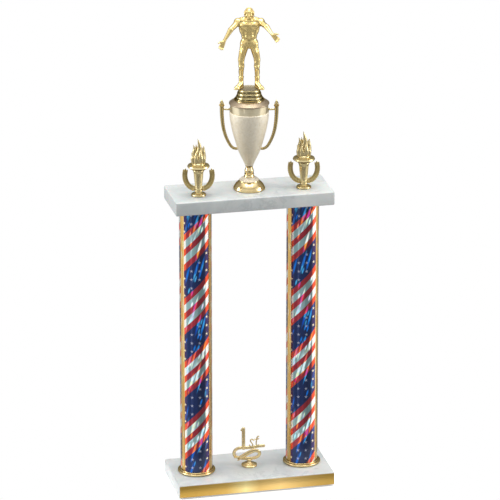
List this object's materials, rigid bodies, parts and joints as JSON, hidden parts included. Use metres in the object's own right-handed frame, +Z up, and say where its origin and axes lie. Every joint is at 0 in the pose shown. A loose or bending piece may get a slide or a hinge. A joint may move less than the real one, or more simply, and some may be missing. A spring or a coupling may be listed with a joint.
{
  "type": "two-column trophy",
  "caption": "Trophy of two marble slabs joined by foil-wrapped columns, with a two-handled cup, a wrestler figure, torch trims and a place trim.",
  "frame": {"origin": "on the surface the trophy stands on, under the middle of the base slab", "axes": "+Z up, +X along the slabs to the right of someone facing the engraving plate, -Y is the front"},
  "size_m": [0.22, 0.1008, 0.6816],
  "materials": {
    "marble": "honed white marble with faint grey veins, edges eased",
    "felt": "dense dark green felt",
    "plate": "gold-anodised sheet, brushed along its length, blank",
    "column_film": "metallised holographic film printed with stripes and stars on a plastic tube",
    "plated_plastic": "vacuum-metallised pale gold, polished",
    "champagne_plastic": "vacuum-metallised champagne gold, frosted",
    "cast_gold": "gold-plated casting, satin",
    "zinc_steel": "zinc-plated"
  },
  "bodies": {
    "stand": {"base_slab": "marble", "top_slab": "marble", "foot_pad_front_left": "felt", "foot_pad_front_right": "felt", "foot_pad_back_left": "felt", "foot_pad_back_right": "felt", "engraving_plate": "plate", "left_column": "column_film", "right_column": "column_film", "left_column_lower_ring": "plated_plastic", "left_column_upper_ring": "plated_plastic", "right_column_lower_ring": "plated_plastic", "right_column_upper_ring": "plated_plastic", "left_tie_rod": "zinc_steel", "left_tie_washer": "zinc_steel", "left_tie_nut": "zinc_steel", "right_tie_rod": "zinc_steel", "right_tie_washer": "zinc_steel", "right_tie_nut": "zinc_steel", "left_torch_stud": "zinc_steel", "left_torch_washer": "zinc_steel", "left_torch_nut": "zinc_steel", "right_torch_stud": "zinc_steel", "right_torch_washer": "zinc_steel", "right_torch_nut": "zinc_steel", "cup_rod": "zinc_steel", "cup_washer": "zinc_steel", "cup_nut": "zinc_steel", "trim_stud": "zinc_steel", "trim_washer": "zinc_steel", "trim_nut": "zinc_steel"},
    "cup": {"cup_foot": "champagne_plastic", "cup_stem": "plated_plastic", "cup_body": "champagne_plastic", "cup_lid": "champagne_plastic", "cup_handle_left": "plated_plastic", "cup_handle_right": "plated_plastic"},
    "figure": {"figure_plinth": "plated_plastic", "figure": "plated_plastic"},
    "left_torch": {"left_torch": "plated_plastic"},
    "right_torch": {"right_torch": "plated_plastic"},
    "place_trim": {"place_trim": "cast_gold"}
  },
  "joints": [
    {"name": "cup_turn", "type": "hinge", "parent": "stand", "child": "cup", "pos_m": [0, 0, 0.4275], "axis": [0, 0, 1], "continuous": true},
    {"name": "figure_turn", "type": "hinge", "parent": "cup", "child": "figure", "pos_m": [0, 0, 0.5551], "axis": [0, 0, 1], "continuous": true},
    {"name": "left_torch_turn", "type": "hinge", "parent": "stand", "child": "left_torch", "pos_m": [-0.073, -0.013, 0.4275], "axis": [0, 0, 1], "continuous": true},
    {"name": "right_torch_turn", "type": "hinge", "parent": "stand", "child": "right_torch", "pos_m": [0.073, -0.013, 0.4275], "axis": [0, 0, 1], "continuous": true},
    {"name": "place_trim_turn", "type": "hinge", "parent": "stand", "child": "place_trim", "pos_m": [0, 0, 0.0205], "axis": [0, 0, 1], "continuous": true}
  ]
}
